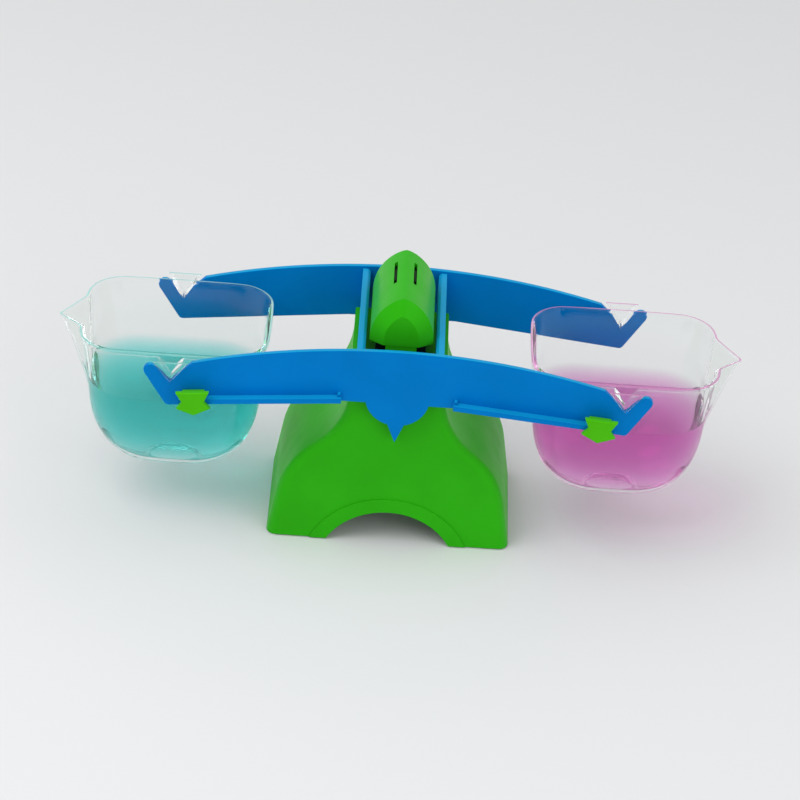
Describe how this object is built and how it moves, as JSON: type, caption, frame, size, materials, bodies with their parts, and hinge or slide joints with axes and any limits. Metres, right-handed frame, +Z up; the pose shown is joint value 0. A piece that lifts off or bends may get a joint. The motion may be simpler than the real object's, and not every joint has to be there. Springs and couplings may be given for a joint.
{
  "type": "bucket balance",
  "caption": "Bucket balance: arched green base, blue beams rocking on a steel rod, a clear spouted bucket hung at each end and clip-on zeroing sliders.",
  "frame": {"origin": "on the surface the balance stands on, under the middle of its bounding box", "axes": "+Z up, +X along the beams towards the right bucket, +Y from the slider side (front) towards the back"},
  "size_m": [0.406, 0.1134, 0.1615],
  "materials": {
    "green_plastic": "smooth semi-gloss moulded",
    "bright_green_plastic": "smooth semi-gloss moulded",
    "blue_plastic": "smooth semi-gloss moulded",
    "clear_plastic": "clear, polished",
    "white_nylon": "matt",
    "grey_rubber": "matt",
    "steel": "ground",
    "zinc_plated_steel": "zinc plated"
  },
  "bodies": {
    "base": {"base_shell": "green_plastic", "pivot_post": "green_plastic", "head_cap": "green_plastic", "front_bushing": "white_nylon", "rear_bushing": "white_nylon", "front_post_screw": "zinc_plated_steel", "rear_post_screw": "zinc_plated_steel", "front_left_pad": "grey_rubber", "front_right_pad": "grey_rubber", "rear_left_pad": "grey_rubber", "rear_right_pad": "grey_rubber"},
    "beam_frame": {"front_beam": "blue_plastic", "rear_beam": "blue_plastic", "left_crossbar": "blue_plastic", "right_crossbar": "blue_plastic", "pivot_rod": "steel", "left_lower_beam_screw": "steel", "left_upper_beam_screw": "steel", "right_lower_beam_screw": "steel", "right_upper_beam_screw": "steel"},
    "left_bucket_body": {"left_bucket": "clear_plastic"},
    "right_bucket_body": {"right_bucket": "clear_plastic"},
    "left_slider_body": {"left_slider": "bright_green_plastic"},
    "right_slider_body": {"right_slider": "bright_green_plastic"}
  },
  "joints": [
    {"name": "beam_tilt", "type": "hinge", "parent": "base", "child": "beam_frame", "pos_m": [0, 0.00395, 0.1235], "axis": [0, 1, 0], "range_deg": [-8, 8]},
    {"name": "left_bucket_swing", "type": "hinge", "parent": "beam_frame", "child": "left_bucket_body", "pos_m": [-0.133, 0.00395, 0.11027], "axis": [0, 1, 0], "range_deg": [-12, 12]},
    {"name": "right_bucket_swing", "type": "hinge", "parent": "beam_frame", "child": "right_bucket_body", "pos_m": [0.133, 0.00395, 0.11027], "axis": [0, 1, 0], "range_deg": [-12, 12]},
    {"name": "left_slider_slide", "type": "slide", "parent": "beam_frame", "child": "left_slider_body", "axis": [0.9962, 0, 0.0872], "range_m": [0, 0.077]},
    {"name": "right_slider_slide", "type": "slide", "parent": "beam_frame", "child": "right_slider_body", "axis": [-0.9962, 0, 0.0872], "range_m": [0, 0.077]}
  ]
}
